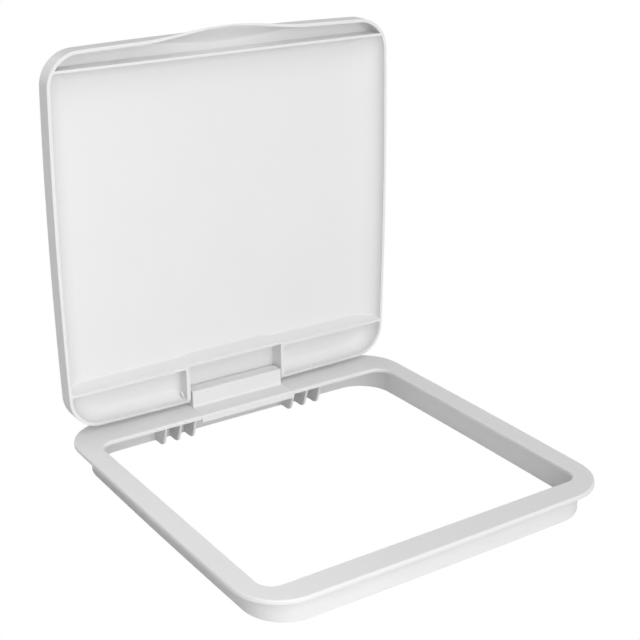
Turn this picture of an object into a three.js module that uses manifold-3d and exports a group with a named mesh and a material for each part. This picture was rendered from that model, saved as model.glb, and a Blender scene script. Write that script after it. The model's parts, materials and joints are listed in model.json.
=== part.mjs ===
// Deck hatch: a square plastic frame with a lid that turns on two pins in a block let into the frame.
// Units are millimetres, +X is to the right along the hinge, +Y is towards the hinge, +Z is up.
// The origin is at the middle of the frame, level with the bottom of the coaming. The lid stands open.
import * as THREE from "three";
import { mergeVertices } from "three/addons/utils/BufferGeometryUtils.js";
import Module from "manifold-3d";

// Frame. Widths and lengths are taken at the corners; the sides bow out from there by the crown.
const frameWidth = 375;
const frameLength = 375;
const frameCrown = 1.5;
const frameCorner = 45.6;
const flangeThickness = 4.1;
const sideLand = 19.85;
const frontLand = 25.4;
const rearLand = 46.2;
const openingCorner = 15.5;

// Coaming: the wall that goes down through the deck, set in from the flange's edge.
const coamingDepth = 29;
const coamingWall = 3;
const coamingCorner = 40;
const coamingSideInset = 12.8;
const coamingFrontInset = 10;
const coamingRearInset = 13.8;

// Gussets under the rear shelf, three on each side of the hinge block.
const gussetThickness = 2.8;
const gussetsPerSide = 3;
const gussetSideSetback = 4.2;
const gussetPitch = 16.5;
const gussetTopSetback = 4.5;
const gussetFootSetback = 20;
const gussetLean = 8.5;
const gussetBendHeight = 8.3;

// Lid, described as it lies closed. Its width and length are also taken at the corners.
const lidSideInset = 4.65;
const lidFrontInset = 6.1;
const lidRearInset = 7.2;
const lidCrown = 3.2;
const lidCorner = 33;
const lidDepth = 20;
const lidEdgeRadius = 3.5;
const rimThickness = 3.2;
const panelThickness = 3;
const closedGap = 0.4;
const frontRibSetback = 16.4;
const frontRibThickness = 2.4;
const rearRibSetback = 35.9;
const rearRibThickness = 2.6;
const middleRibShift = 2.4;

// Finger lip: in the middle of the front the wall flares out towards its rim, and its inside runs
// down to the panel as a slope.
const lipWidth = 186;
const lipReach = 6.5;
const lipScoop = 2.4;
const lipSlope = 4.6;
const lipBendHeight = 10.7;
const lipBlend = 0.3;
const lipSegments = 24;

// Hinge. The pins turn in the block and sit fast in the lid's two hinge ribs.
const hingeHeight = 11.6;
const hingeSetback = 11.3;
const openAngle = Math.PI / 2;
const blockWidth = 105;
const blockSideGap = 1.4;
const hingeRibThickness = 4;
const pinRadius = 3.1;
const pinProud = 0.8;
const pinInBlock = 14;
const pinChamfer = 0.5;
const plateSideLip = 1.8;
const blockFrontSetback = 24;
const fasciaHeight = 8;
const fasciaThickness = 3;
const seatThickness = 3.5;
const seatWall = 3;

// Screws that hold the block on its seat from below.
const screwRadius = 1.9;
const screwCount = 4;
const screwHeadRadius = 3.6;
const screwHeadFlat = 2.2;
const screwHeadHeight = 2.2;
const screwInBlock = 12;
const screwSpacing = 24;
const screwSetback = 20.1;
const driveWidth = 1.1;
const driveLength = 4.2;
const driveDepth = 1.3;

// Gaps between separate pieces, and how far joined shapes run into each other.
const seatGap = 0.3;
const boreGap = 0.15;
const stopGap = 0.3;
const joinDepth = 1;

// Places that follow from the sizes above.
const flangeTop = coamingDepth;
const shelfUnderside = flangeTop - flangeThickness;
const hingeY = frameLength / 2 - hingeSetback;
const hingeZ = flangeTop + hingeHeight;
const lidWidth = frameWidth - 2 * lidSideInset;
const lidLength = frameLength - lidFrontInset - lidRearInset;
const lidMiddleY = (lidFrontInset - lidRearInset) / 2 - hingeY;
const rimZ = closedGap - hingeHeight;
const panelZ = rimZ + lidDepth - panelThickness;
const lipY = frameLength / 2 - rearLand;
const rearWallInnerY = frameLength / 2 - coamingRearInset - coamingWall;
const notchRearY = rearWallInnerY - seatGap;
const blockFrontY = frameLength / 2 - blockFrontSetback;
const blockPlateWidth = blockWidth + 2 * plateSideLip;
const firstGussetX = blockPlateWidth / 2 + gussetSideSetback;
const ribInnerX = blockWidth / 2 + blockSideGap;
const ribOuterX = ribInnerX + hingeRibThickness;
const roundSegments = 48;
const outlineSegments = 6;
const lidOutlineSegments = 12;
const edgeSegments = 3;

const wasm = await Module();
wasm.setup();

function solid(geometry) {
  const plain = geometry.clone();
  plain.deleteAttribute("normal");
  plain.deleteAttribute("uv");
  const merged = mergeVertices(plain, 1e-4);
  return new wasm.Manifold(
    new wasm.Mesh({
      numProp: 3,
      vertProperties: new Float32Array(merged.attributes.position.array),
      triVerts: new Uint32Array(merged.index.array),
    }),
  );
}

function geometryOf(manifold) {
  const mesh = manifold.getMesh();
  const geometry = new THREE.BufferGeometry();
  geometry.setAttribute("position", new THREE.BufferAttribute(mesh.vertProperties, 3));
  geometry.setIndex(new THREE.BufferAttribute(mesh.triVerts, 1));
  geometry.computeVertexNormals();
  return geometry;
}

// A box between two corners.
function box(low, high) {
  const size = high.map((value, i) => value - low[i]);
  const geometry = new THREE.BoxGeometry(...size);
  geometry.translate(...low.map((value, i) => value + size[i] / 2));
  return solid(geometry);
}

// A cylinder along X between two places on it.
function rodX(radius, x0, x1, y, z) {
  const geometry = new THREE.CylinderGeometry(radius, radius, x1 - x0, roundSegments);
  geometry.rotateZ(Math.PI / 2);
  geometry.translate((x0 + x1) / 2, y, z);
  return solid(geometry);
}

// A cylinder along Z between two heights.
function rodZ(radius, x, y, z0, z1) {
  const geometry = new THREE.CylinderGeometry(radius, radius, z1 - z0, roundSegments / 2);
  geometry.rotateX(Math.PI / 2);
  geometry.translate(x, y, (z0 + z1) / 2);
  return solid(geometry);
}

// The arcs of a rounded rectangle whose sides bow out. Each side is one shallow arc, and each corner
// is an arc that meets its two sides smoothly. The inset moves the whole outline in, parallel to itself.
function bowedArcs(width, length, crown, corner, inset) {
  const sideRadius = (length * length) / (8 * crown);
  const endRadius = (width * width) / (8 * crown);
  const sideX = width / 2 + crown - sideRadius;
  const endY = length / 2 + crown - endRadius;
  const toSide = sideRadius - corner;
  const toEnd = endRadius - corner;
  const apart = Math.hypot(sideX, endY);
  const along = (toSide * toSide - toEnd * toEnd + apart * apart) / (2 * apart);
  const across = Math.sqrt(toSide * toSide - along * along);
  const centre = new THREE.Vector2(
    sideX - (along * sideX + across * endY) / apart,
    (along * endY - across * sideX) / apart,
  );
  return {
    centre,
    cornerRadius: corner - inset,
    sideX,
    endY,
    sideRadius: sideRadius - inset,
    endRadius: endRadius - inset,
    sideAngle: Math.atan2(centre.y, centre.x - sideX),
    endAngle: Math.atan2(centre.y - endY, centre.x),
  };
}

function bowedOutline(width, length, crown, corner, inset = 0, centreY = 0) {
  const a = bowedArcs(width, length, crown, corner, inset);
  const { PI } = Math;
  const shape = new THREE.Shape();
  shape.absarc(a.sideX, centreY, a.sideRadius, -a.sideAngle, a.sideAngle);
  shape.absarc(a.centre.x, centreY + a.centre.y, a.cornerRadius, a.sideAngle, a.endAngle);
  shape.absarc(0, centreY + a.endY, a.endRadius, a.endAngle, PI - a.endAngle);
  shape.absarc(-a.centre.x, centreY + a.centre.y, a.cornerRadius, PI - a.endAngle, PI - a.sideAngle);
  shape.absarc(-a.sideX, centreY, a.sideRadius, PI - a.sideAngle, PI + a.sideAngle);
  shape.absarc(-a.centre.x, centreY - a.centre.y, a.cornerRadius, PI + a.sideAngle, PI + a.endAngle);
  shape.absarc(0, centreY - a.endY, a.endRadius, PI + a.endAngle, 2 * PI - a.endAngle);
  shape.absarc(a.centre.x, centreY - a.centre.y, a.cornerRadius, -a.endAngle, -a.sideAngle);
  return shape;
}

function roundedRectangle(width, length, corner, centreY) {
  const x = width / 2 - corner;
  const y = length / 2 - corner;
  const shape = new THREE.Shape();
  shape.absarc(x, centreY + y, corner, 0, Math.PI / 2);
  shape.absarc(-x, centreY + y, corner, Math.PI / 2, Math.PI);
  shape.absarc(-x, centreY - y, corner, Math.PI, 1.5 * Math.PI);
  shape.absarc(x, centreY - y, corner, 1.5 * Math.PI, 2 * Math.PI);
  return shape;
}

// The points of an outline, without the double ones where two arcs meet.
function outlinePoints(shape, segments) {
  const points = shape.extractPoints(segments).shape;
  return points.filter((point, i) => point.distanceTo(points.at(i - 1)) > 1e-3);
}

function prism(shape, z0, z1) {
  const settings = { depth: z1 - z0, bevelEnabled: false };
  const outline = new THREE.Shape(outlinePoints(shape, outlineSegments));
  const geometry = new THREE.ExtrudeGeometry(outline, settings);
  geometry.translate(0, 0, z0);
  return solid(geometry);
}

// An outline drawn in Y and Z, made into a plate of the given thickness about one place on X.
function plateAcrossX(shape, x, thickness) {
  const settings = { depth: thickness, bevelEnabled: false };
  const outline = new THREE.Shape(outlinePoints(shape, outlineSegments));
  const geometry = new THREE.ExtrudeGeometry(outline, settings);
  geometry.rotateX(Math.PI / 2);
  geometry.rotateZ(Math.PI / 2);
  geometry.translate(x - thickness / 2, 0, 0);
  return solid(geometry);
}

function flange() {
  const outer = bowedOutline(frameWidth, frameLength, frameCrown, frameCorner);
  const openingWidth = frameWidth - 2 * sideLand;
  const openingLength = frameLength - frontLand - rearLand;
  const openingY = (frontLand - rearLand) / 2;
  const opening = roundedRectangle(openingWidth, openingLength, openingCorner, openingY);
  const plate = prism(outer, shelfUnderside, flangeTop);
  return plate.subtract(prism(opening, shelfUnderside - joinDepth, flangeTop + joinDepth));
}

function coaming() {
  const width = frameWidth - 2 * coamingSideInset;
  const length = frameLength - coamingFrontInset - coamingRearInset;
  const centreY = (coamingFrontInset - coamingRearInset) / 2;
  const outer = bowedOutline(width, length, frameCrown, coamingCorner, 0, centreY);
  const inner = bowedOutline(width, length, frameCrown, coamingCorner, coamingWall, centreY);
  const wall = prism(outer, 0, shelfUnderside + joinDepth);
  return wall.subtract(prism(inner, -joinDepth, flangeTop));
}

// A fin between the shelf and the rear wall, with a leaning front edge and a round lower corner.
function gusset(x) {
  const topY = lipY + gussetTopSetback;
  const footY = lipY + gussetFootSetback;
  const shape = new THREE.Shape();
  shape.moveTo(rearWallInnerY + joinDepth, 0);
  shape.lineTo(rearWallInnerY + joinDepth, shelfUnderside + joinDepth);
  shape.lineTo(topY, shelfUnderside + joinDepth);
  shape.lineTo(topY + gussetLean - joinDepth, gussetBendHeight);
  shape.quadraticCurveTo(topY + gussetLean + joinDepth, 0, footY + joinDepth, 0);
  return plateAcrossX(shape, x, gussetThickness);
}

// The sunk seat that carries the hinge block, below a notch in the shelf.
function blockSeat() {
  const halfNotch = blockPlateWidth / 2 + seatGap;
  const top = shelfUnderside - seatGap;
  const frontY = lipY + fasciaThickness + seatGap;
  const low = [-halfNotch - seatWall, frontY, top - seatThickness];
  const high = [halfNotch + seatWall, rearWallInnerY + joinDepth, shelfUnderside + joinDepth];
  const hollow = box(
    [-halfNotch, frontY - joinDepth, top],
    [halfNotch, rearWallInnerY + 2 * joinDepth, flangeTop],
  );
  return box(low, high).subtract(hollow);
}

function blockNotch() {
  const halfNotch = blockPlateWidth / 2 + seatGap;
  const low = [-halfNotch, lipY - joinDepth, shelfUnderside - seatGap];
  return box(low, [halfNotch, notchRearY, flangeTop + joinDepth]);
}

// Where the screws stand: in a row, evenly spaced about the middle of the block.
function screwPlaces() {
  const y = frameLength / 2 - screwSetback;
  const middle = (screwCount - 1) / 2;
  return Array.from({ length: screwCount }, (_, i) => ({ x: (i - middle) * screwSpacing, y }));
}

function screwHoles(radius, z0, z1) {
  const [first, ...rest] = screwPlaces().map(({ x, y }) => rodZ(radius, x, y, z0, z1));
  return rest.reduce((all, one) => all.add(one), first);
}

function frame() {
  let body = flange().add(coaming()).subtract(blockNotch()).add(blockSeat());
  for (let i = 0; i < gussetsPerSide; i++) {
    const x = firstGussetX + i * gussetPitch;
    body = body.add(gusset(-x)).add(gusset(x));
  }
  return body.subtract(screwHoles(screwRadius + seatGap, 0, flangeTop));
}

// The block: a plate let into the shelf, its front fascia, and the upright that holds the pins. Its
// back is flat below the pins, where the lid's panel stops against it, and round above them.
function hingeBlock() {
  const halfPlate = blockPlateWidth / 2;
  const halfBlock = blockWidth / 2;
  const backRadius = panelZ - stopGap;
  const plate = box([-halfPlate, lipY, shelfUnderside], [halfPlate, notchRearY - seatGap, flangeTop]);
  const fascia = box(
    [-halfPlate, lipY, flangeTop - fasciaHeight],
    [halfPlate, lipY + fasciaThickness, flangeTop],
  );
  const foot = box(
    [-halfBlock, blockFrontY, flangeTop - joinDepth],
    [halfBlock, notchRearY - seatGap, flangeTop + joinDepth],
  );
  const front = box(
    [-halfBlock, blockFrontY, flangeTop + seatGap],
    [halfBlock, hingeY, hingeZ + backRadius],
  );
  const stop = box(
    [-halfBlock, hingeY - joinDepth, flangeTop + seatGap],
    [halfBlock, hingeY + backRadius, hingeZ],
  );
  const knuckle = rodX(backRadius, -halfBlock, halfBlock, hingeY, hingeZ);
  const boreEnd = halfBlock - pinInBlock - seatGap;
  const bore = pinRadius + boreGap;
  return plate
    .add(fascia)
    .add(foot)
    .add(front)
    .add(stop)
    .add(knuckle)
    .subtract(rodX(bore, boreEnd, halfBlock + joinDepth, hingeY, hingeZ))
    .subtract(rodX(bore, -halfBlock - joinDepth, -boreEnd, hingeY, hingeZ))
    .subtract(screwHoles(screwRadius + boreGap, 0, shelfUnderside + screwInBlock + seatGap));
}

// A turned pin with a chamfer at each end, from inside the block to just past its hinge rib.
function hingePin(side) {
  const inner = blockWidth / 2 - pinInBlock;
  const outer = ribOuterX + pinProud;
  const profile = [
    new THREE.Vector2(0, inner),
    new THREE.Vector2(pinRadius - pinChamfer, inner),
    new THREE.Vector2(pinRadius, inner + pinChamfer),
    new THREE.Vector2(pinRadius, outer - pinChamfer),
    new THREE.Vector2(pinRadius - pinChamfer, outer),
    new THREE.Vector2(0, outer),
  ];
  const geometry = new THREE.LatheGeometry(profile, roundSegments);
  geometry.rotateZ((-side * Math.PI) / 2);
  return solid(geometry);
}

// The lid's outline, placed about the hinge axis.
function lidOutline(inset) {
  const outline = bowedOutline(lidWidth, lidLength, lidCrown, lidCorner, inset, lidMiddleY);
  return new THREE.Shape(outlinePoints(outline, lidOutlineSegments));
}

// The lid's outside: straight walls up from the rim, and a rounded edge round the top.
function lidOutside() {
  const geometry = new THREE.ExtrudeGeometry(lidOutline(0), {
    depth: lidDepth - lidEdgeRadius,
    bevelEnabled: true,
    bevelSize: lidEdgeRadius,
    bevelOffset: -lidEdgeRadius,
    bevelThickness: lidEdgeRadius,
    bevelSegments: edgeSegments,
  });
  geometry.translate(0, 0, rimZ);
  const reach = frameWidth + frameLength;
  return solid(geometry).subtract(box([-reach, -reach, rimZ - lidDepth], [reach, reach, rimZ]));
}

// A solid through sections along the front wall. Each section is a convex outline in Y and Z,
// anticlockwise as seen from +X, made from the lip's swell there (0 to 1) and the wall's outer face.
function alongFrontWall(section) {
  const { endY, endRadius } = bowedArcs(lidWidth, lidLength, lidCrown, lidCorner, 0);
  const positions = [];
  let count = 0;
  for (let i = 0; i <= lipSegments; i++) {
    const x = lipWidth * (i / lipSegments - 0.5);
    const swell = (1 + Math.cos((2 * Math.PI * x) / lipWidth)) / 2;
    const wallY = lidMiddleY - endY - Math.sqrt(endRadius * endRadius - x * x);
    const points = section(swell, wallY);
    count = points.length;
    for (const [y, z] of points) positions.push(x, y, z);
  }
  const faces = [];
  const last = lipSegments * count;
  for (let k = 1; k < count - 1; k++) {
    faces.push(0, k + 1, k, last, last + k, last + k + 1);
  }
  for (let row = 0; row < last; row += count) {
    for (let k = 0; k < count; k++) {
      const here = row + k;
      const beside = row + ((k + 1) % count);
      faces.push(here, beside, beside + count, here, beside + count, here + count);
    }
  }
  const geometry = new THREE.BufferGeometry();
  geometry.setAttribute("position", new THREE.Float32BufferAttribute(positions, 3));
  geometry.setIndex(faces);
  return solid(geometry);
}

// The flare outside the wall: widest at the rim, gone where the top edge starts to round.
function lipFlare() {
  const topZ = rimZ + lidDepth - lidEdgeRadius;
  return alongFrontWall((swell, wallY) => [
    [wallY + lipBlend - (lipReach + lipBlend) * swell, rimZ],
    [wallY + rimThickness / 2, rimZ],
    [wallY + rimThickness / 2, topZ],
    [wallY + lipBlend, topZ],
  ]);
}

// What the flare takes out of the wall's inside, from the rim to the bend.
function lipHollow() {
  const bendZ = rimZ + lipBendHeight;
  return alongFrontWall((swell, wallY) => {
    const innerY = wallY + rimThickness + lipBlend;
    return [
      [innerY - (lipReach + lipScoop) * swell, rimZ - joinDepth],
      [innerY + joinDepth, rimZ - joinDepth],
      [innerY + joinDepth, bendZ],
      [innerY, bendZ],
    ];
  });
}

// The slope that fills the foot of the wall's inside, from the bend down to the panel.
function lipFoot() {
  const innerOffset = rimThickness - lipBlend;
  return alongFrontWall((swell, wallY) => [
    [wallY + rimThickness - joinDepth, rimZ + lipBendHeight],
    [wallY + innerOffset + (lipSlope + lipBlend) * swell, panelZ + joinDepth / 2],
    [wallY + rimThickness - joinDepth, panelZ + joinDepth / 2],
  ]);
}

function crossRib(y, thickness, x0, x1) {
  return box([x0, y - thickness / 2, rimZ], [x1, y + thickness / 2, panelZ + joinDepth]);
}

function hingeRib(side, frontY) {
  const x0 = side > 0 ? ribInnerX : -ribOuterX;
  const rearY = lidMiddleY + lidLength / 2;
  return box([x0, frontY, rimZ], [x0 + hingeRibThickness, rearY, panelZ + joinDepth]);
}

// What the rear edge loses so that it passes over the flange as the lid swings.
function swingRelief() {
  const reach = frameWidth;
  const quarter = box([-reach, 0, rimZ - lidDepth], [reach, lidLength, 0]);
  return quarter.subtract(rodX(-rimZ, -2 * reach, 2 * reach, 0, 0));
}

function lid() {
  const outside = lidOutside();
  const hollow = prism(lidOutline(rimThickness), rimZ - joinDepth, panelZ);
  const frontRibY = lidMiddleY - lidLength / 2 + frontRibSetback;
  const rearRibY = lidMiddleY + lidLength / 2 - rearRibSetback;
  const middleRibY = rearRibY - middleRibShift;
  const halfWidth = lidWidth / 2 + lidCrown;
  const ribs = crossRib(frontRibY, frontRibThickness, -halfWidth, halfWidth)
    .add(crossRib(rearRibY, rearRibThickness, -halfWidth, -ribInnerX))
    .add(crossRib(middleRibY, rearRibThickness, -ribOuterX, ribOuterX))
    .add(crossRib(rearRibY, rearRibThickness, ribInnerX, halfWidth))
    .add(hingeRib(-1, middleRibY))
    .add(hingeRib(1, middleRibY));
  const bore = pinRadius + boreGap;
  const blockBay = box([-ribInnerX, 0, rimZ - joinDepth], [ribInnerX, lidLength, panelZ]);
  return outside
    .add(lipFlare())
    .subtract(hollow)
    .subtract(lipHollow())
    .add(lipFoot())
    .add(ribs.intersect(outside))
    .subtract(blockBay)
    .subtract(rodX(bore, -ribOuterX - joinDepth, -ribInnerX + joinDepth, 0, 0))
    .subtract(rodX(bore, ribInnerX - joinDepth, ribOuterX + joinDepth, 0, 0))
    .subtract(swingRelief());
}

// A pan-head screw that points up, with a cross recess in its head.
function screw() {
  const seatUnderside = shelfUnderside - seatGap - seatThickness;
  const headTop = seatUnderside - seatGap;
  const headBottom = headTop - screwHeadHeight;
  const profile = new THREE.Shape();
  profile.moveTo(0, headBottom);
  profile.lineTo(screwHeadFlat, headBottom);
  profile.quadraticCurveTo(screwHeadRadius, headBottom, screwHeadRadius, headTop);
  profile.lineTo(screwRadius, headTop);
  profile.lineTo(screwRadius, shelfUnderside + screwInBlock - screwRadius);
  profile.lineTo(0, shelfUnderside + screwInBlock);
  const geometry = new THREE.LatheGeometry(profile.getPoints(outlineSegments), roundSegments / 2);
  geometry.rotateX(Math.PI / 2);
  const recessTop = headBottom + driveDepth;
  const half = driveWidth / 2;
  const long = driveLength / 2;
  return solid(geometry)
    .subtract(box([-half, -long, headBottom - joinDepth], [half, long, recessTop]))
    .subtract(box([-long, -half, headBottom - joinDepth], [long, half, recessTop]));
}

const whitePlastic = new THREE.MeshStandardMaterial({ color: 0xf0f0ef, roughness: 0.42 });
const steel = new THREE.MeshStandardMaterial({ color: 0xb9bcc0, roughness: 0.3, metalness: 1 });

function part(name, manifold, material) {
  const mesh = new THREE.Mesh(geometryOf(manifold), material);
  mesh.name = name;
  return mesh;
}

const hatch = new THREE.Group();
hatch.add(part("frame", frame(), whitePlastic));
hatch.add(part("hinge_block", hingeBlock(), whitePlastic));
screwPlaces().forEach(({ x, y }, i) => {
  const one = part(`hinge_block_screw_${i + 1}`, screw(), steel);
  one.position.set(x, y, 0);
  hatch.add(one);
});

// The lid and its pins are drawn round the hinge axis as they lie closed, then turned open.
const swing = new THREE.Group();
swing.position.set(0, hingeY, hingeZ);
swing.rotation.x = -openAngle;
swing.add(part("lid", lid(), whitePlastic));
swing.add(part("hinge_pin_left", hingePin(-1), whitePlastic));
swing.add(part("hinge_pin_right", hingePin(1), whitePlastic));
hatch.add(swing);

export default hatch;
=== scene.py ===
import json
import math
from collections import namedtuple

import bmesh
import bpy
import numpy as np
from mathutils import Matrix, Vector


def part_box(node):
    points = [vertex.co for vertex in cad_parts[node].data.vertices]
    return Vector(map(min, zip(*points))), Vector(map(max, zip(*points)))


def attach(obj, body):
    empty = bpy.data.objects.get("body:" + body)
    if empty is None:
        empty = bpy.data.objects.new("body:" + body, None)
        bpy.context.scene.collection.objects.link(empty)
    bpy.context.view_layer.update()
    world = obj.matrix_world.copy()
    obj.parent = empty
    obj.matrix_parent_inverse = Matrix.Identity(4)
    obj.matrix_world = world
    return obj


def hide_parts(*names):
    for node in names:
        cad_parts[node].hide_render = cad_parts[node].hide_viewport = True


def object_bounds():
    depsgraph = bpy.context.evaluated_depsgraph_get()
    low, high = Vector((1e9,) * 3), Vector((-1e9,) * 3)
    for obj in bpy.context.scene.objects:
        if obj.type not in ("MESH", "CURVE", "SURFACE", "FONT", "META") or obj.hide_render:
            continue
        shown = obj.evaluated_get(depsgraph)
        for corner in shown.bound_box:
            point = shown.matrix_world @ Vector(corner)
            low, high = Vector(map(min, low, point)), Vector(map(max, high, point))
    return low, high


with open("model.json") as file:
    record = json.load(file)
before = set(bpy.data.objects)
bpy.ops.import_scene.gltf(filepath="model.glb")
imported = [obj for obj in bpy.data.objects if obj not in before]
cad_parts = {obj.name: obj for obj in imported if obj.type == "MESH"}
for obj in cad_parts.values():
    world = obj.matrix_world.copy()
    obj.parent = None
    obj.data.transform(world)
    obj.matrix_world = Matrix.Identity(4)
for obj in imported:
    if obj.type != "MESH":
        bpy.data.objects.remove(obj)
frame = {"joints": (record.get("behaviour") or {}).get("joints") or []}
cad_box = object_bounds()

MM = 0.001
QUARTER = math.pi / 2

# Sizes in millimetres, the same as the CAD part's. The frame gives the places: the hinge, the deck
# face and the overall box.
frame_low, frame_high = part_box("frame")
hinge = Vector(frame["joints"][0]["pos_m"]) / MM
deck_top = frame_high.z / MM
frame_crown = 1.5
frame_width = (frame_high.x - frame_low.x) / MM - 2 * frame_crown
frame_length = (frame_high.y - frame_low.y) / MM - 2 * frame_crown
frame_corner = 45.6
flange_thickness = 4.1
side_land = 19.85
front_land = 25.4
rear_land = 46.2
opening_corner = 15.5
coaming_wall = 3
coaming_corner = 40
coaming_side_inset = 12.8
coaming_front_inset = 10
coaming_rear_inset = 13.8
gusset_thickness = 2.8
gussets_per_side = 3
gusset_pitch = 16.5
gusset_side_setback = 4.2
gusset_top_setback = 4.5
gusset_foot_setback = 20
lid_side = 4.65
lid_front = 6.1
lid_rear = 7.2
lid_crown = 3.2
lid_corner = 33
lid_depth = 20
lid_edge = 3.5
rim_thickness = 3.2
panel_thickness = 3
closed_gap = 0.4
front_rib_setback = 16.4
front_rib_thickness = 2.4
rear_rib_setback = 35.9
rear_rib_thickness = 2.6
middle_rib_shift = 2.4
lip_half = 93
lip_reach = 6.5
lip_slope = 4.6
block_width = 105
block_side_gap = 1.4
hinge_rib_thickness = 4
pin_radius = 3.1
pin_proud = 0.8
pin_in_block = 14
plate_side_lip = 1.8
block_front_setback = 24
fascia_height = 8
fascia_thickness = 3
seat_thickness = 3.5
seat_wall = 3
screw_count = 4
screw_spacing = 24
screw_setback = 20.1
screw_radius = 1.9
screw_in_block = 12
screw_head_radius = 3.6
screw_head_height = 2.2
drive_width = 1.1
drive_length = 4.2
drive_depth = 1.3
seat_gap = 0.3
bore_gap = 0.15
stop_gap = 0.3
join_depth = 1

# Sizes of the visual model's own, in millimetres too: rounded edges, a shallower scoop in the finger
# lip, and the finer fits that show.
square_edge = 0.01
flange_edge = 1.7
rim_edge = 0.6
lip_scoop = 1.4
seam_gap = 0.24
rib_bore_gap = 0.04
cut_margin = 0.02

# Places that follow from those sizes.
shelf_underside = deck_top - flange_thickness
hinge_height = hinge.z - deck_top
lid_width = frame_width - 2 * lid_side
lid_length = frame_length - lid_front - lid_rear
lid_middle_y = (lid_front - lid_rear) / 2 - hinge.y
rim_z = closed_gap - hinge_height
lid_top_z = rim_z + lid_depth
floor_z = lid_top_z - panel_thickness
front_rib_y = lid_middle_y - lid_length / 2 + front_rib_setback
rear_rib_y = lid_middle_y + lid_length / 2 - rear_rib_setback
middle_rib_y = rear_rib_y - middle_rib_shift
rib_inner_x = block_width / 2 + block_side_gap
rib_outer_x = rib_inner_x + hinge_rib_thickness
lip_y = frame_length / 2 - rear_land
rear_wall_y = frame_length / 2 - coaming_rear_inset - coaming_wall
half_plate = block_width / 2 + plate_side_lip
plate_rear_y = rear_wall_y - 2 * seat_gap
screw_tip_z = shelf_underside + screw_in_block


# ---------------------------------------------------------------- outlines

def arc(x, y, radius, start, end, steps):
    """Points on an arc about x and y, from one angle to another."""
    angles = np.linspace(start, end, steps + 1)
    return np.column_stack([x + radius * np.cos(angles), y + radius * np.sin(angles)])


def without_doubles(points):
    """A closed outline without the points that lie on the one before them."""
    least_gap = 1e-4
    gaps = np.linalg.norm(points - np.roll(points, 1, axis=0), axis=1)
    return points[gaps > least_gap]


def bowed_outline(width, length, crown, corner, inset=0, middle_y=0, side_steps=48, corner_steps=16):
    """A rounded rectangle whose four sides are shallow arcs, anticlockwise. Width and length are
    taken at the corners, and the inset moves the whole outline in, parallel to itself."""
    side_radius = length * length / (8 * crown)
    end_radius = width * width / (8 * crown)
    side_x = width / 2 + crown - side_radius
    end_y = length / 2 + crown - end_radius
    to_side = side_radius - corner
    to_end = end_radius - corner
    apart = math.hypot(side_x, end_y)
    along = (to_side ** 2 - to_end ** 2 + apart ** 2) / (2 * apart)
    across = math.sqrt(to_side ** 2 - along ** 2)
    cx = side_x - (along * side_x + across * end_y) / apart
    cy = (along * end_y - across * side_x) / apart
    side_angle = math.atan2(cy, cx - side_x)
    end_angle = math.atan2(cy - end_y, cx)
    side = side_radius - inset
    end = end_radius - inset
    round_ = corner - inset
    pieces = [
        arc(side_x, 0, side, -side_angle, side_angle, side_steps),
        arc(cx, cy, round_, side_angle, end_angle, corner_steps),
        arc(0, end_y, end, end_angle, math.pi - end_angle, side_steps),
        arc(-cx, cy, round_, math.pi - end_angle, math.pi - side_angle, corner_steps),
        arc(-side_x, 0, side, math.pi - side_angle, math.pi + side_angle, side_steps),
        arc(-cx, -cy, round_, math.pi + side_angle, math.pi + end_angle, corner_steps),
        arc(0, -end_y, end, math.pi + end_angle, 2 * math.pi - end_angle, side_steps),
        arc(cx, -cy, round_, -end_angle, -side_angle, corner_steps),
    ]
    return without_doubles(np.vstack(pieces)) + (0, middle_y)


def clipped(points, axis, limit, keep_above):
    """The part of a closed outline on one side of a line across X (axis 0) or Y (axis 1)."""
    sign = 1 if keep_above else -1
    height = sign * (points[:, axis] - limit)
    kept = []
    for here, there, a, b in zip(points, np.roll(points, -1, axis=0), height, np.roll(height, -1)):
        if a >= 0:
            kept.append(here)
        if a * b < 0:
            kept.append(here + (there - here) * a / (a - b))
    return without_doubles(np.array(kept))


def with_round_corners(points, radius, steps=6):
    """An anticlockwise outline with an arc in place of each sharp corner. An arc takes up no more than
    a set share of the shorter edge beside it."""
    least_turn = 0.3
    most_of_edge = 0.45
    before = points - np.roll(points, 1, axis=0)
    after = np.roll(points, -1, axis=0) - points
    result = []
    for p, u, v in zip(points, before, after):
        turn = math.atan2(u[0] * v[1] - u[1] * v[0], u @ v)
        if abs(turn) < least_turn:
            result.append(p)
            continue
        room = most_of_edge * min(np.linalg.norm(u), np.linalg.norm(v))
        trim = min(radius * math.tan(abs(turn) / 2), room)
        r = trim / math.tan(abs(turn) / 2)
        u = u / np.linalg.norm(u)
        start = p - u * trim
        normal = np.array([-u[1], u[0]]) * math.copysign(1, turn)
        for angle in np.linspace(0, abs(turn), steps + 1):
            result.append(start + u * r * math.sin(angle) + normal * r * (1 - math.cos(angle)))
    return np.array(result)


def rounded_rectangle(width, length, corner, x=0, y=0, steps=8):
    half_x = width / 2
    half_y = length / 2
    corners = np.array([[half_x, -half_y], [half_x, half_y], [-half_x, half_y], [-half_x, -half_y]])
    return with_round_corners(corners, corner, steps) + (x, y)


def outward(points):
    """The way out at each point, scaled so that moving along it moves each edge by the same amount."""
    edge = np.roll(points, -1, axis=0) - points
    edge /= np.linalg.norm(edge, axis=1)[:, None]
    after = np.column_stack([edge[:, 1], -edge[:, 0]])
    before = np.roll(after, 1, axis=0)
    return (before + after) / (1 + (before * after).sum(axis=1))[:, None]


# ---------------------------------------------------------------- solids

def at_height(points, z):
    return np.column_stack([points, np.full(len(points), z)])


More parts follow.
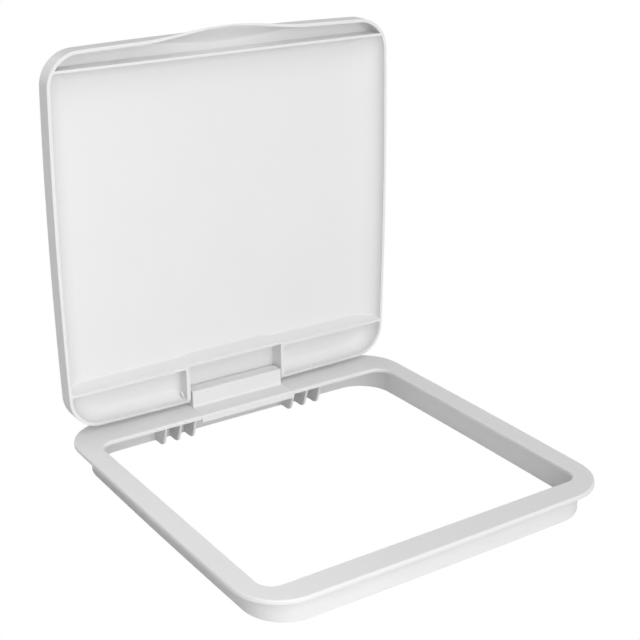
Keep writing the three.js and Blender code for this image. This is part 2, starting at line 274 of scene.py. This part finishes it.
def loft(name, rings):
    """A closed mesh through rings of equal length, with a cap at each end."""
    count = len(rings[0])
    mesh = bpy.data.meshes.new(name)
    bm = bmesh.new()
    rows = [[bm.verts.new(p) for p in ring] for ring in rings]
    for low, high in zip(rows, rows[1:]):
        for i in range(count):
            j = (i + 1) % count
            bm.faces.new((low[i], low[j], high[j], high[i]))
    bm.faces.new(rows[0][::-1])
    bm.faces.new(rows[-1])
    bmesh.ops.recalc_face_normals(bm, faces=bm.faces)
    bm.to_mesh(mesh)
    bm.free()
    obj = bpy.data.objects.new(name, mesh)
    bpy.context.scene.collection.objects.link(obj)
    return obj


def edge_steps(radius, steps=5):
    """Pairs of inset and height for a rounded edge, from the side wall to the flat."""
    return [
        (abs(radius) * (1 - math.cos(a)) * math.copysign(1, radius), abs(radius) * math.sin(a))
        for a in np.linspace(0, QUARTER, steps + 1)
    ]


def slab(name, outline, z0, z1, low_edge, high_edge):
    """An upright solid with rounded edges. A negative radius flares out, for a tool that cuts a hole."""
    out = outward(outline)
    low = [at_height(outline - out * i, z0 + abs(low_edge) - h) for i, h in edge_steps(low_edge)]
    high = [at_height(outline - out * i, z1 - abs(high_edge) + h) for i, h in edge_steps(high_edge)]
    return loft(name, low[::-1] + high)


def bar(name, profile, x0, x1, edge):
    """A profile in Y and Z, drawn out along X, with rounded end edges."""
    out = outward(profile)

    def ring(x, inset):
        section = profile - out * inset
        return np.column_stack([np.full(len(section), x), section])

    start = [ring(x0 + edge - h, i) for i, h in edge_steps(edge)]
    end = [ring(x1 - edge + h, i) for i, h in edge_steps(edge)]
    return loft(name, start[::-1] + end)


def rod(name, profile, x_sign):
    """A turned solid about the X axis, from pairs of radius and place along X."""
    steps = 64
    angles = np.linspace(0, 2 * math.pi, steps, endpoint=False)
    rings = [
        np.column_stack([np.full(steps, x_sign * x), r * np.cos(angles), r * np.sin(angles)])
        for r, x in profile
    ]
    return loft(name, rings)


def combine(body, tools, operation):
    """Joins the tools to the body or cuts them out of it, one after the other."""
    for tool in tools:
        step = body.modifiers.new("step", "BOOLEAN")
        step.operation = operation
        step.solver = "MANIFOLD"
        step.object = tool
        evaluated = body.evaluated_get(bpy.context.evaluated_depsgraph_get())
        mesh = bpy.data.meshes.new_from_object(evaluated)
        body.modifiers.clear()
        old = body.data
        body.data = mesh
        bpy.data.meshes.remove(old)
        bpy.data.objects.remove(tool)
    return body


def cut(body, *tools):
    return combine(body, tools, "DIFFERENCE")


def join(body, *tools):
    return combine(body, tools, "UNION")


def moved(obj, matrix):
    obj.data.transform(matrix)
    return obj


def weld(mesh):
    """Merges the points that booleans leave on top of one another."""
    nearest = 2e-6
    bm = bmesh.new()
    bm.from_mesh(mesh)
    bmesh.ops.remove_doubles(bm, verts=bm.verts, dist=nearest)
    bmesh.ops.dissolve_degenerate(bm, edges=bm.edges, dist=nearest)
    bm.to_mesh(mesh)
    bm.free()


def finished(obj, name, material, body, nodes, placing=Matrix.Identity(4)):
    """Gives a solid its name, place, smooth shading and material, and hands it to the frame."""
    sharp_angle = math.radians(35)
    obj.data.transform(Matrix.Diagonal((MM, MM, MM, 1)) @ placing)
    weld(obj.data)
    obj.name = name
    obj.data.name = name
    obj.data.materials.clear()
    obj.data.materials.append(material)
    obj.data.polygons.foreach_set("material_index", [0] * len(obj.data.polygons))
    obj.data.shade_smooth()
    obj.data.set_sharp_from_angle(angle=sharp_angle)
    weighted = obj.modifiers.new("normals", "WEIGHTED_NORMAL")
    weighted.keep_sharp = True
    weighted.weight = 80
    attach(obj, body)
    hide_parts(*nodes)


# ---------------------------------------------------------------- materials

def node(tree, kind, place, **inputs):
    """Adds a node at a place in the tree and sets the inputs that are named."""
    made = tree.nodes.new(kind)
    made.location = place
    for name, value in inputs.items():
        made.inputs[name].default_value = value
    return made


def moulded_plastic(name, light, dark, roughness):
    """White plastic: a fine grain, faint clouding in its colour, and a sheen that varies a little."""
    grain = 0.00035
    grain_depth = 0.000012
    material = bpy.data.materials.new(name)
    material.use_nodes = True
    tree = material.node_tree
    shader = tree.nodes["Principled BSDF"]
    shader.inputs["IOR"].default_value = 1.49
    place = node(tree, "ShaderNodeTexCoord", (-1200, 0))
    cloud = node(tree, "ShaderNodeTexNoise", (-900, 200), Scale=14.0, Detail=4.0, Roughness=0.55)
    tint = node(tree, "ShaderNodeValToRGB", (-600, 200))
    tint.color_ramp.elements[0].position = 0.3
    tint.color_ramp.elements[0].color = (*dark, 1)
    tint.color_ramp.elements[1].position = 0.7
    tint.color_ramp.elements[1].color = (*light, 1)
    smear = node(tree, "ShaderNodeTexNoise", (-900, -100), Scale=55.0, Detail=5.0, Roughness=0.6)
    sheen = node(tree, "ShaderNodeMapRange", (-600, -100))
    sheen.inputs["To Min"].default_value = roughness - 0.05
    sheen.inputs["To Max"].default_value = roughness + 0.06
    fine = node(tree, "ShaderNodeTexNoise", (-900, -400), Scale=1 / grain, Detail=2.0, Roughness=0.5)
    relief = node(tree, "ShaderNodeBump", (-300, -400), Strength=0.35, Distance=grain_depth)
    link = tree.links.new
    for texture in (cloud, smear, fine):
        link(place.outputs["Object"], texture.inputs["Vector"])
    link(cloud.outputs["Fac"], tint.inputs["Fac"])
    link(tint.outputs["Color"], shader.inputs["Base Color"])
    link(smear.outputs["Fac"], sheen.inputs["Value"])
    link(sheen.outputs["Result"], shader.inputs["Roughness"])
    link(fine.outputs["Fac"], relief.inputs["Height"])
    link(relief.outputs["Normal"], shader.inputs["Normal"])
    return material


def grained_steel(name):
    """Stainless steel with a fine grain that shows in its colour, its polish and its relief."""
    material = bpy.data.materials.new(name)
    material.use_nodes = True
    tree = material.node_tree
    shader = tree.nodes["Principled BSDF"]
    shader.inputs["Metallic"].default_value = 1.0
    place = node(tree, "ShaderNodeTexCoord", (-1200, 0))
    grain = node(tree, "ShaderNodeTexNoise", (-900, 0), Scale=900.0, Detail=3.0, Roughness=0.6)
    tint = node(tree, "ShaderNodeValToRGB", (-600, 200))
    tint.color_ramp.elements[0].color = (0.5, 0.51, 0.52, 1)
    tint.color_ramp.elements[1].color = (0.68, 0.69, 0.7, 1)
    polish = node(tree, "ShaderNodeMapRange", (-600, -100))
    polish.inputs["To Min"].default_value = 0.22
    polish.inputs["To Max"].default_value = 0.4
    relief = node(tree, "ShaderNodeBump", (-300, -300), Strength=0.3, Distance=0.00001)
    link = tree.links.new
    link(place.outputs["Object"], grain.inputs["Vector"])
    link(grain.outputs["Fac"], tint.inputs["Fac"])
    link(tint.outputs["Color"], shader.inputs["Base Color"])
    link(grain.outputs["Fac"], polish.inputs["Value"])
    link(polish.outputs["Result"], shader.inputs["Roughness"])
    link(grain.outputs["Fac"], relief.inputs["Height"])
    link(relief.outputs["Normal"], shader.inputs["Normal"])
    return material


white = moulded_plastic("white_plastic", (0.745, 0.745, 0.743), (0.733, 0.733, 0.731), 0.46)
pin_white = moulded_plastic("pin_plastic", (0.93, 0.93, 0.925), (0.91, 0.91, 0.905), 0.3)
steel = grained_steel("screw_steel")


# ---------------------------------------------------------------- frame

def screw_places():
    """Where the screws stand: a row along X, under the block's upright."""
    y = frame_length / 2 - screw_setback
    middle = (screw_count - 1) / 2
    return [((i - middle) * screw_spacing, y) for i in range(screw_count)]


def hole_tool(x, y, radius, z0, z1):
    outline = arc(x, y, radius, 0, 2 * math.pi, 32)[:-1]
    return slab("hole", outline, z0, z1, square_edge, square_edge)


def gusset(x):
    """A web under the shelf. Its front edge leans back and turns into its foot through an arc."""
    foot_y = lip_y + gusset_foot_setback
    foot_z = 0.2
    bend = 10
    turn = 1.03
    wall_y = rear_wall_y + join_depth
    top_z = shelf_underside + join_depth
    profile = np.vstack([
        [[lip_y + gusset_top_setback, top_z]],
        arc(foot_y, foot_z + bend, bend, -QUARTER, -QUARTER - turn, 8)[::-1],
        [[wall_y, foot_z], [wall_y, top_z]],
    ])
    half = gusset_thickness / 2
    side_edge = 1.2
    return bar("gusset", profile, x - half, x + half, side_edge)


def coaming_outline(inset):
    width = frame_width - 2 * coaming_side_inset
    length = frame_length - coaming_front_inset - coaming_rear_inset
    middle = (coaming_front_inset - coaming_rear_inset) / 2
    return bowed_outline(width, length, frame_crown, coaming_corner, inset, middle)


def coaming():
    """The wall that goes down through the deck, and the tool that clears its inside."""
    foot_edge = 0.7
    fillet = 1.2
    overlap = 1.5
    top = shelf_underside + overlap
    wall = slab("coaming", coaming_outline(0), 0, top, foot_edge, square_edge)
    inner = coaming_outline(coaming_wall)
    inside = slab("inside", inner, -join_depth, shelf_underside, square_edge, fillet)
    return wall, inside


def opening_tool():
    """The opening through the flange, with a rounding above and a smaller one below."""
    width = frame_width - 2 * side_land
    length = frame_length - front_land - rear_land
    outline = rounded_rectangle(width, length, opening_corner, 0, (front_land - rear_land) / 2, 20)
    low = shelf_underside - cut_margin
    low_edge = 0.5
    return slab("opening", outline, low, deck_top + cut_margin, -low_edge, -flange_edge)


def notch_tool():
    """What the shelf loses for the hinge block: a notch that is open in front."""
    corner = 0.3
    mouth_edge = 0.12
    past_front = 4
    rear = rear_wall_y - seat_gap
    length = rear - lip_y + past_front
    outline = rounded_rectangle(2 * (half_plate + seam_gap), length, corner, 0, rear - length / 2)
    low = shelf_underside - seat_gap
    return slab("notch", outline, low, deck_top + cut_margin, square_edge, -mouth_edge)


def seat_tray():
    """The sunk tray under the notch, which carries the hinge block. Its hollow is open in front."""
    corner = 4
    foot_edge = 0.8
    hollow_corner = 0.6
    hollow_edge = 0.4
    top = shelf_underside - seat_gap
    past_ends = 4
    width = 2 * (half_plate + seat_gap)
    front = lip_y + fascia_thickness + seat_gap
    length = rear_wall_y + join_depth - front
    hollow_length = length + past_ends
    hollow_y = front - join_depth + hollow_length / 2
    outside = rounded_rectangle(width + 2 * seat_wall, length, corner, 0, front + length / 2)
    inside = rounded_rectangle(width, hollow_length, hollow_corner, 0, hollow_y)
    low = top - seat_thickness
    tray = slab("tray", outside, low, shelf_underside + join_depth, foot_edge, square_edge)
    return cut(tray, slab("hollow", inside, top, deck_top, hollow_edge, square_edge))


def hatch_frame():
    outer = bowed_outline(frame_width, frame_length, frame_crown, frame_corner)
    under_edge = 0.4
    body = slab("flange", outer, shelf_underside, deck_top, under_edge, flange_edge)
    wall, inside = coaming()
    body = cut(join(body, wall), inside, opening_tool(), notch_tool())
    gussets = [
        gusset(side * (half_plate + gusset_side_setback + i * gusset_pitch))
        for side in (-1, 1)
        for i in range(gussets_per_side)
    ]
    body = join(body, seat_tray(), *gussets)
    radius = screw_radius + seat_gap
    return cut(body, *[hole_tool(x, y, radius, 0, deck_top) for x, y in screw_places()])


# ---------------------------------------------------------------- hinge block

def block_upright():
    """The upright in section: a soft foot, a flat front, a round shoulder and a flat back stop."""
    front = frame_length / 2 - block_front_setback
    back = floor_z - stop_gap
    foot = 2.6
    shoulder = 1.6
    chamfer = 0.5
    end_edge = 0.7
    root = deck_top - join_depth
    overhang = deck_top + seat_gap
    top = hinge.z + back
    profile = np.vstack([
        [[plate_rear_y, root], [plate_rear_y, overhang]],
        [[hinge.y + back - chamfer, overhang], [hinge.y + back, overhang + chamfer]],
        arc(hinge.y, hinge.z, back, 0, QUARTER, 16),
        arc(front + shoulder, top - shoulder, shoulder, QUARTER, math.pi, 8),
        arc(front - foot, deck_top + foot, foot, 0, -QUARTER, 8),
        [[front - foot, root]],
    ])
    return bar("block", without_doubles(profile), -block_width / 2, block_width / 2, end_edge)


def block_plate():
    """The plate let into the shelf, with the fascia that closes the front of the notch."""
    bottom = deck_top - fascia_height
    small = 0.4
    end_edge = 0.15
    inner_y = lip_y + fascia_thickness
    profile = np.vstack([
        [[inner_y, shelf_underside], [plate_rear_y, shelf_underside], [plate_rear_y, deck_top]],
        arc(lip_y + flange_edge, deck_top - flange_edge, flange_edge, QUARTER, math.pi, 8),
        arc(lip_y + small, bottom + small, small, math.pi, 1.5 * math.pi, 4),
        arc(inner_y - small, bottom + small, small, -QUARTER, 0, 4),
    ])
    return bar("plate", profile, -half_plate, half_plate, end_edge)


def pin_bore(side):
    """The blind bore that a pin turns in, open at the block's end."""
    radius = pin_radius + bore_gap
    inner = block_width / 2 - pin_in_block - seat_gap
    bore = rod("bore", [(radius, inner), (radius, block_width)], side)
    return moved(bore, Matrix.Translation((0, hinge.y, hinge.z)))


def hinge_block():
    body = join(block_upright(), block_plate())
    body = cut(body, pin_bore(-1), pin_bore(1))
    radius = screw_radius + bore_gap
    return cut(body, *[hole_tool(x, y, radius, 0, screw_tip_z + seat_gap) for x, y in screw_places()])


def hinge_pin(side):
    """A pin with a small rounding at its inner end and a low dome at its outer end, which shows."""
    edge = 0.5
    dome = 1.05
    dome_rise = 0.3
    inner = block_width / 2 - pin_in_block
    outer = rib_outer_x + pin_proud + dome_rise
    profile = [(pin_radius - i, inner + edge - h) for i, h in edge_steps(edge)][::-1]
    profile += [(pin_radius - i * 2, outer - dome + h) for i, h in edge_steps(dome, 8)]
    return rod("pin", profile, side)


# ---------------------------------------------------------------- screws

def pan_head(top):
    """The head in section, as pairs of radius and height: a domed face, a short side, a flat top."""
    side = 0.5
    edge = 0.15
    dome = screw_head_height - side
    section = [
        (screw_head_radius * math.sin(a), top - side - dome * math.cos(a))
        for a in np.linspace(0.08, QUARTER, 10)
    ]
    return section + [(screw_head_radius, top - edge), (screw_head_radius - edge, top), (screw_radius, top)]


def thread(start, end):
    """The thread in section, drawn as level rings with a flat crest at each turn."""
    root = 1.5
    pitch = 1.1
    section = []
    z = start
    while z < end:
        section += [(root, z), (screw_radius, z + 0.35), (screw_radius, z + 0.45), (root, z + 0.8)]
        z += pitch
    return section


def cross_recess(x, y, mouth):
    """The two crossed blades that cut the recess, up into the head from below."""
    corner = 0.4
    tip_edge = 0.3
    end = mouth + drive_depth
    sizes = ((drive_width, drive_length), (drive_length, drive_width))
    outlines = [rounded_rectangle(*size, corner, x, y) for size in sizes]
    return [slab("blade", outline, mouth - join_depth, end, square_edge, tip_edge) for outline in outlines]


def pan_screw(x, y):
    """A pan-head screw that points up, with a cross recess in its head and a ringed thread."""
    plain_shank = 3.4
    plain_end = 3
    head_top = shelf_underside - seat_gap - seat_thickness - seat_gap
    point = [(1.4, screw_tip_z - 1.9), (0.15, screw_tip_z)]
    profile = pan_head(head_top) + thread(head_top + plain_shank, screw_tip_z - plain_end) + point
    angles = np.linspace(0, 2 * math.pi, 48, endpoint=False)
    around = np.column_stack([np.cos(angles), np.sin(angles)])
    screw = loft("screw", [at_height(around * radius, z) for radius, z in profile])
    screw = moved(screw, Matrix.Translation((x, y, 0)))
    return cut(screw, *cross_recess(x, y, head_top - screw_head_height))


# ---------------------------------------------------------------- lid, as it lies closed about the hinge

# One wall of a pocket: how far it leans in from its mouth to the floor, and how far its fillet
# reaches in over the floor and up the wall.
Wall = namedtuple("Wall", "lean reach height")


def lip_swell(x):
    """The finger lip's swelling along the front edge: 1 in its middle, 0 at its ends and past them."""
    inside = np.abs(x) < lip_half
    return np.where(inside, (1 + np.cos(math.pi * x / lip_half)) / 2, 0)


def lid_shell():
    """The lid's outside, from its rounded rim up to its rounded top edge, with the lip's flare."""
    flare = 1.4
    bend_z = lid_top_z - lid_edge
    outline = bowed_outline(lid_width, lid_length, lid_crown, lid_corner, 0, lid_middle_y, 60, 20)
    out = outward(outline)
    front = outline[:, 1] < lid_middle_y
    steps = [(i, rim_z + rim_edge - h) for i, h in edge_steps(rim_edge)][::-1]
    steps += [(0, z) for z in np.linspace(rim_z + 2, bend_z - 1, 8)]
    steps += [(i, bend_z + h) for i, h in edge_steps(lid_edge, 8)]
    rings = []
    for inset, z in steps:
        ring = outline - out * inset
        rise = max(0, (bend_z - z) / (lid_depth - lid_edge)) ** flare
        ring[:, 1] -= np.where(front, lip_reach * lip_swell(outline[:, 0]) * rise, 0)
        rings.append(at_height(ring, z))
    return loft("lid", rings)


def pocket(name, outline, left, right, front, rear, front_lip=False):
    """A tool that cuts one pocket. Its mouth has a rounded edge, its walls lean in with depth, and
    its floor meets them in soft fillets."""
    walls = (left, right, front, rear)
    out = outward(outline)
    low = outline.min(axis=0)
    high = outline.max(axis=0)
    share = (outline - (low + high) / 2) / ((high - low) / 2)
    in_front = share[:, 1] < 0.2
    depth = floor_z - rim_z
    tallest = max(wall.height for wall in walls)
    levels = [(rim_z - join_depth, rim_edge)] + [(rim_z + h, i) for i, h in edge_steps(rim_edge)]
    levels += [(z, 0) for z in np.linspace(rim_z + rim_edge, floor_z - tallest, 6)[1:]]
    levels += [(floor_z - tallest + h, 0) for i, h in edge_steps(tallest, 14)[1:]]
    rings = []
    for z, spread in levels:
        sunk = max(0, (z - rim_z) / depth)
        inward = []
        for wall in walls:
            up = min(1, max(0, (z - floor_z + wall.height) / wall.height))
            inward.append(wall.lean * sunk + wall.reach * (1 - math.sqrt(1 - up * up)))
        ring = outline + out * spread
        ring[:, 0] -= share[:, 0] * np.where(share[:, 0] < 0, inward[0], inward[1])
        ring[:, 1] -= share[:, 1] * np.where(share[:, 1] < 0, inward[2], inward[3])
        if front_lip:
            swell = lip_swell(outline[:, 0]) * in_front
            ring[:, 1] += swell * (lip_slope * sunk - (lip_reach + lip_scoop) * (1 - sunk))
        rings.append(at_height(ring, z))
    return loft(name, rings)


def inner_outline():
    """The inside edge of the lid's rim."""
    inset = rim_thickness
    return bowed_outline(lid_width, lid_length, lid_crown, lid_corner, inset, lid_middle_y, 60, 20)


def main_pocket():
    """The pocket over the whole panel. Its rear side steps forward, at a slant, at the hinge ribs."""
    outline = clipped(inner_outline(), 1, front_rib_y + front_rib_thickness / 2, True)
    rear = rear_rib_y - rear_rib_thickness / 2
    middle = middle_rib_y - rear_rib_thickness / 2
    outline = clipped(outline, 1, rear, False)
    start = int(np.argmax(outline[:, 0] * (np.abs(outline[:, 1] - rear) < 1e-6)))
    outline = np.roll(outline, -start - 1, axis=0)
    wide = rib_outer_x + 4
    narrow = rib_inner_x - 6
    step = [[wide, rear], [narrow, middle], [-narrow, middle], [-wide, rear]]
    outline = with_round_corners(np.vstack([outline, step]), 1.6)
    return pocket(
        "main", outline,
        left=Wall(0.8, 20, 15), right=Wall(0.8, 34, 16), front=Wall(1, 9, 12), rear=Wall(4.4, 0.8, 3),
    )


def front_pocket():
    """The pocket between the front wall, with its finger lip, and the front rib."""
    outline = clipped(inner_outline(), 1, front_rib_y - front_rib_thickness / 2, False)
    outline = with_round_corners(outline, 1.5)
    end = Wall(1, 6, 9)
    front = Wall(0.8, 3, 9)
    rear = Wall(0.2, 0.8, 2)
    return pocket("front", outline, end, end, front, rear, front_lip=True)


def rear_pocket(side):
    """The pocket beside a hinge rib, at the lid's rear corner."""
    outline = clipped(inner_outline(), 1, rear_rib_y + rear_rib_thickness / 2, True)
    outline = clipped(outline, 0, side * rib_outer_x, side > 0)
    outline = with_round_corners(outline, 2)
    inner = Wall(0.3, 9, 4.5)
    outer = Wall(1, 19, 15)
    left, right = (outer, inner) if side < 0 else (inner, outer)
    return pocket("rear", outline, left, right, front=Wall(0.8, 9, 9), rear=Wall(0.8, 10, 12))


def middle_pocket():
    """The pocket between the hinge ribs. It runs out through the rear edge, to clear the block."""
    length = 60
    y = middle_rib_y + rear_rib_thickness / 2 + length / 2
    outline = rounded_rectangle(2 * rib_inner_x, length, 1, 0, y)
    rib = Wall(0.2, 0.8, 3)
    return pocket("middle", outline, rib, rib, front=Wall(0.8, 8, 8), rear=Wall(0.3, 1, 3))


def swing_relief():
    """What the rear edge loses so that it clears the frame's flange as the lid swings."""
    reach = -rim_z
    far = reach + 30
    profile = np.vstack([
        arc(0, 0, reach, -QUARTER, 0, 24),
        [[far, 0], [far, -far], [0, -far]],
    ])
    return bar("relief", profile, -frame_width, frame_width, square_edge)


def rib_bore(side):
    """The bore that holds a pin in its hinge rib."""
    radius = pin_radius + rib_bore_gap
    return rod("bore", [(radius, rib_inner_x - join_depth), (radius, rib_outer_x + 2)], side)


def lid():
    body = cut(lid_shell(), main_pocket(), front_pocket(), middle_pocket())
    body = cut(body, rear_pocket(-1), rear_pocket(1))
    return cut(body, rib_bore(-1), rib_bore(1), swing_relief())


# ---------------------------------------------------------------- pieces

opened = Matrix.Translation(hinge) @ Matrix.Rotation(-QUARTER, 4, "X")

finished(hatch_frame(), "hatch_frame", white, "base", ["frame"])
finished(hinge_block(), "hinge_block_moulding", white, "base", ["hinge_block"])
for number, (screw_x, screw_y) in enumerate(screw_places(), 1):
    cad_name = f"hinge_block_screw_{number}"
    finished(pan_screw(screw_x, screw_y), f"pan_screw_{number}", steel, "base", [cad_name])
finished(lid(), "hatch_lid", white, "lid", ["lid"], opened)
for side_name, side in (("left", -1), ("right", 1)):
    cad_name = f"hinge_pin_{side_name}"
    finished(hinge_pin(side), f"pin_{side_name}", pin_white, "lid", [cad_name], opened)


# ---------------------------------------------------------------- stage

def plane(name, z):
    """A wide level sheet of the stage, with its shader."""
    reach = 12
    mesh = bpy.data.meshes.new(name)
    corners = [(-reach, -reach, 0), (reach, -reach, 0), (reach, reach, 0), (-reach, reach, 0)]
    mesh.from_pydata(corners, [], [(0, 1, 2, 3)])
    obj = bpy.data.objects.new(name, mesh)
    obj.location.z = z
    bpy.context.scene.collection.objects.link(obj)
    material = bpy.data.materials.new(name)
    material.use_nodes = True
    mesh.materials.append(material)
    return obj, material.node_tree.nodes["Principled BSDF"]


def pale_floor():
    """Two sheets: one that the camera sees as plain white, and one that throws light back up."""
    ground = cad_box[0][2]
    drop = 0.0005
    seen, shader = plane("floor", ground - drop)
    shader.inputs["Base Color"].default_value = (0, 0, 0, 1)
    shader.inputs["Specular IOR Level"].default_value = 0
    shader.inputs["Emission Color"].default_value = (1, 1, 1, 1)
    shader.inputs["Emission Strength"].default_value = 1
    seen.visible_diffuse = False
    seen.visible_glossy = False
    seen.visible_shadow = False
    bounce, shader = plane("floor_bounce", ground)
    shader.inputs["Base Color"].default_value = (0.75, 0.75, 0.75, 1)
    shader.inputs["Roughness"].default_value = 0.9
    bounce.visible_camera = False


def white_world():
    """White where the camera looks past the hatch, and a weaker fill light on the hatch itself."""
    world = bpy.data.worlds.new("studio")
    bpy.context.scene.world = world
    world.use_nodes = True
    tree = world.node_tree
    tree.nodes.clear()
    path = node(tree, "ShaderNodeLightPath", (-600, 200))
    seen = node(tree, "ShaderNodeBackground", (-300, 0), Color=(1, 1, 1, 1), Strength=1.0)
    fill = node(tree, "ShaderNodeBackground", (-300, -200), Color=(1, 1, 1, 1), Strength=0.29)
    mix = node(tree, "ShaderNodeMixShader", (0, 0))
    out = node(tree, "ShaderNodeOutputWorld", (200, 0))
    tree.links.new(path.outputs["Is Camera Ray"], mix.inputs[0])
    tree.links.new(fill.outputs[0], mix.inputs[1])
    tree.links.new(seen.outputs[0], mix.inputs[2])
    tree.links.new(mix.outputs[0], out.inputs[0])


def lamp(name, kind, energy, towards, place=(0, 0, 1)):
    light = bpy.data.lights.new(name, kind)
    light.energy = energy
    obj = bpy.data.objects.new(name, light)
    obj.location = place
    obj.rotation_euler = Vector(towards).to_track_quat("-Z", "Y").to_euler()
    bpy.context.scene.collection.objects.link(obj)
    return light


def sun(name, strength, towards, spread):
    lamp(name, "SUN", strength, towards).angle = math.radians(spread)


def studio_lamps():
    sun("high_front", 1.05, (0, 0.62, -0.77), spread=50)
    sun("low_front", 1.12, (0, 0.985, -0.17), spread=40)
    sun("top_rear", 0.42, (0.1, -0.3, -0.95), spread=40)
    sun("back_fill", 0.9, (0.2, -0.96, -0.2), spread=40)
    sun("right_fill", 0.4, (-0.95, -0.15, -0.25), spread=40)
    near = lamp("near_left", "AREA", 1.35, towards=(0.35, 0.65, -0.3), place=(-0.4, -0.65, 0.35))
    near.size = 0.4


def camera():
    """Looks down at the open hatch from its front left, through a long lens."""
    place = (-0.64129, -0.94599, 0.61706)
    towards = Vector((0.51762, 0.77292, -0.36697))
    data = bpy.data.cameras.new("camera")
    data.lens = 76.64
    data.sensor_width = 36
    cam = bpy.data.objects.new("camera", data)
    cam.location = place
    cam.rotation_euler = towards.to_track_quat("-Z", "Y").to_euler()
    bpy.context.scene.collection.objects.link(cam)
    bpy.context.scene.camera = cam


pale_floor()
white_world()
studio_lamps()
camera()
bpy.context.scene.view_settings.view_transform = "Standard"
